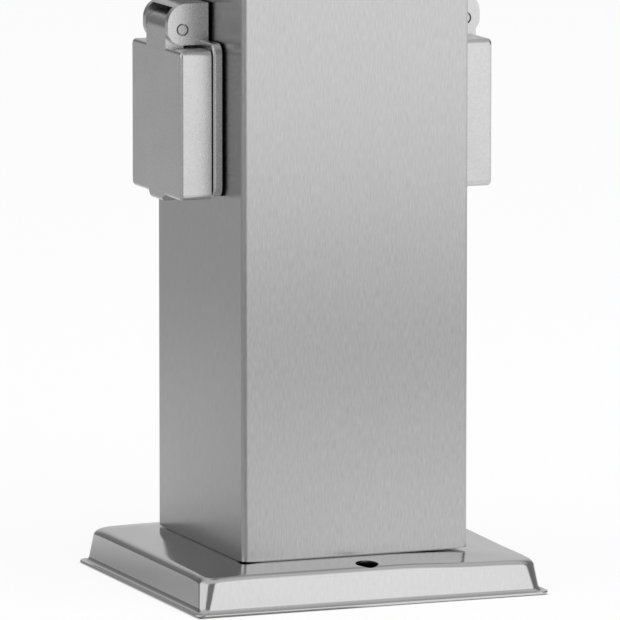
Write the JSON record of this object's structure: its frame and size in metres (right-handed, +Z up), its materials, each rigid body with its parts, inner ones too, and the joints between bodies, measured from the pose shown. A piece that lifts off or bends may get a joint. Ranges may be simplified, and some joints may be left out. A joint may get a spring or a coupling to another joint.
{
  "type": "garden socket post",
  "caption": "Square brushed steel post on a pressed steel base, with a mains socket under a sprung hinged lid on its left and right face.",
  "frame": {"origin": "middle of the base, in the plane that it stands on", "axes": "+Z up along the post, -Y to the front where the plain face is, -X to the left socket and +X to the right one"},
  "size_m": [0.141, 0.13, 0.3],
  "materials": {
    "post_steel": "brushed upright grain, satin",
    "base_steel": "bright pressed sheet, near mirror",
    "plain_steel": "plain satin",
    "cast_metal": "die-cast, satin grey",
    "brass": "plain",
    "black_rubber": "matt",
    "socket_plastic": "fine matt",
    "block_plastic": "plain",
    "live_insulation": "brown",
    "neutral_insulation": "blue",
    "earth_insulation": "green and yellow, shown as one mixed colour"
  },
  "bodies": {
    "stand": {"post_tube": "post_steel", "top_cap": "post_steel", "base_cover": "base_steel", "base_screws": "plain_steel", "weld_nuts": "plain_steel", "cable_grommet": "black_rubber", "terminal_shelf": "plain_steel", "terminal_block": "block_plastic", "terminal_bars": "brass", "terminal_screws": "plain_steel", "earth_stud": "plain_steel", "earth_nut": "plain_steel", "earth_ring": "plain_steel", "earth_lead": "earth_insulation", "live_wires": "live_insulation", "neutral_wires": "neutral_insulation", "earth_wires": "earth_insulation", "left_gasket": "black_rubber", "left_flange": "cast_metal", "left_flange_screws": "plain_steel", "left_socket_insert": "socket_plastic", "left_centre_screw": "plain_steel", "left_rear_cover": "socket_plastic", "left_pin_contacts": "brass", "left_contact_screws": "plain_steel", "left_earth_contact": "brass", "left_hinge_pin": "plain_steel", "left_hinge_spring": "plain_steel", "right_gasket": "black_rubber", "right_flange": "cast_metal", "right_flange_screws": "plain_steel", "right_socket_insert": "socket_plastic", "right_centre_screw": "plain_steel", "right_rear_cover": "socket_plastic", "right_pin_contacts": "brass", "right_contact_screws": "plain_steel", "right_earth_contact": "brass", "right_hinge_pin": "plain_steel", "right_hinge_spring": "plain_steel"},
    "left_lid_body": {"left_lid": "cast_metal", "left_lid_seal": "black_rubber"},
    "right_lid_body": {"right_lid": "cast_metal", "right_lid_seal": "black_rubber"}
  },
  "joints": [
    {"name": "left_lid_hinge", "type": "hinge", "parent": "stand", "child": "left_lid_body", "pos_m": [-0.0566, 0, 0.21135], "axis": [0, 1, 0], "range_deg": [0, 110], "stiffness_Nm_per_rad": 0.02, "springref_deg": -28.65},
    {"name": "right_lid_hinge", "type": "hinge", "parent": "stand", "child": "right_lid_body", "pos_m": [0.0566, 0, 0.21135], "axis": [0, -1, 0], "range_deg": [0, 110], "stiffness_Nm_per_rad": 0.02, "springref_deg": -28.65}
  ]
}
